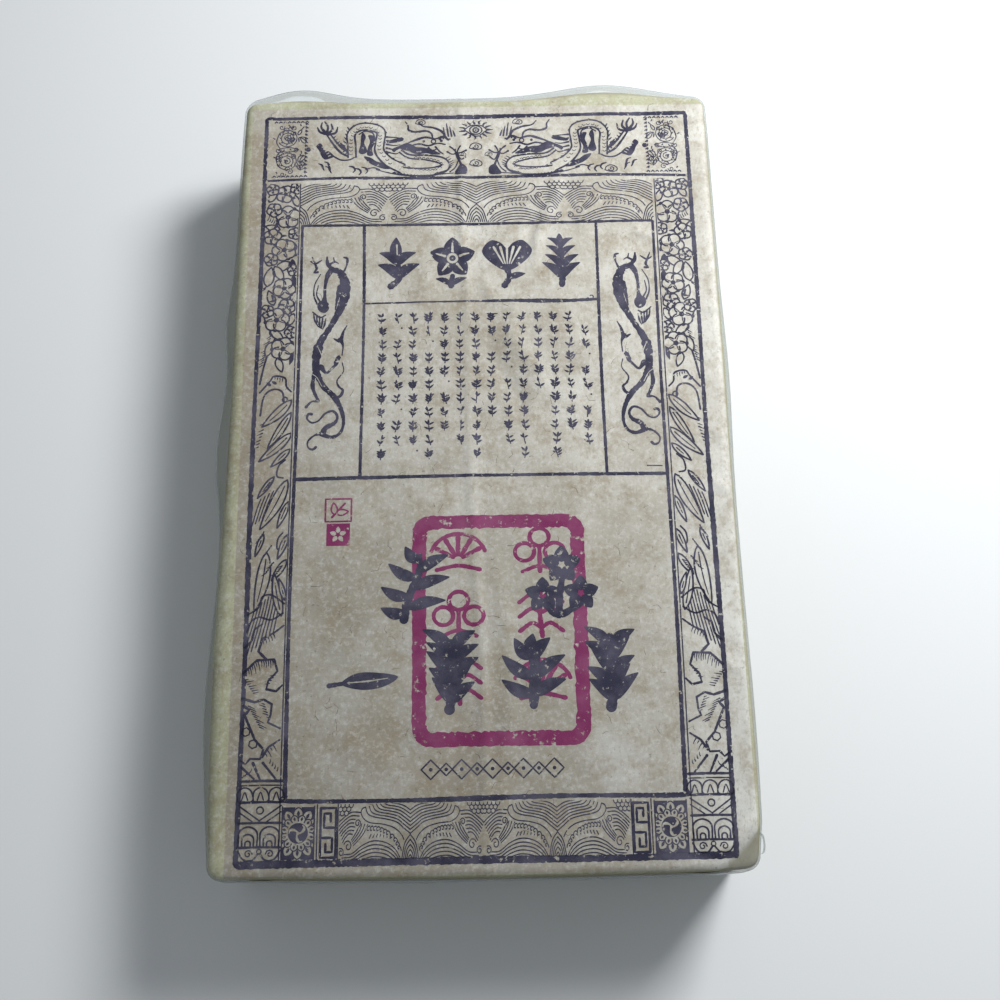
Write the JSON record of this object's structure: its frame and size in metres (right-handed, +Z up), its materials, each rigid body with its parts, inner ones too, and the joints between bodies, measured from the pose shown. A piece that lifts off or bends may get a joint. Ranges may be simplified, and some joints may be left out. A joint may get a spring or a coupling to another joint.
{
  "type": "paper-wrapped dark tea brick",
  "caption": "Flat pressed brick of dark tea in a shut, creased paper wrap with parcel-folded ends and a thin clear film, lying printed face up.",
  "frame": {"origin": "centre of the pack's bounding box on the surface it lies on", "axes": "+X to the right of the printed face, +Y towards the top of the print, +Z up out of the printed face"},
  "size_m": [0.1484, 0.2376, 0.0389],
  "materials": {
    "wrap_paper": "matt, fibrous, creased",
    "indigo_ink": "matt print, worn at its edges",
    "seal_ink": "matt print, uneven",
    "clear_film": "thin clear shrink film, glossy, slack along the walls"
  },
  "bodies": {
    "root": {"wrapped_tea_brick": "wrap_paper"}
  },
  "joints": []
}
